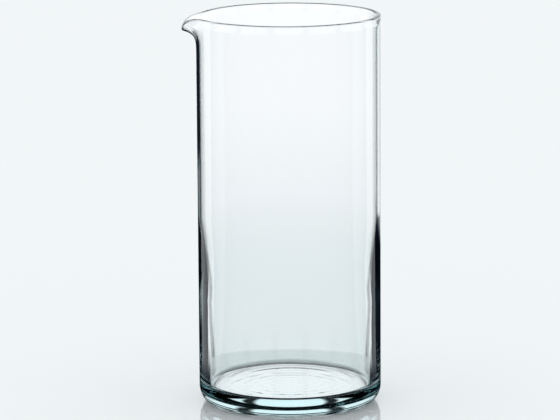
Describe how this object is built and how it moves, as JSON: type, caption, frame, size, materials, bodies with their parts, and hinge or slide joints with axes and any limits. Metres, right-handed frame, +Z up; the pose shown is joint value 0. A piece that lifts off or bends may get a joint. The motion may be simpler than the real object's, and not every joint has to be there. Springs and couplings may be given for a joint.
{
  "type": "mixing glass",
  "caption": "Straight-sided clear glass vessel for stirring drinks, with a thick base, a rounded rim and a pulled pouring lip.",
  "frame": {"origin": "centre of the flat underside that the glass stands on", "axes": "+Z up along the glass's own axis and out of its mouth; the pouring lip points along -X"},
  "size_m": [0.0862, 0.08, 0.171],
  "materials": {
    "clear_glass": "clear, fire-polished, faint grey-green tint in the thick base"
  },
  "bodies": {
    "root": {"glass_vessel": "clear_glass"}
  },
  "joints": []
}
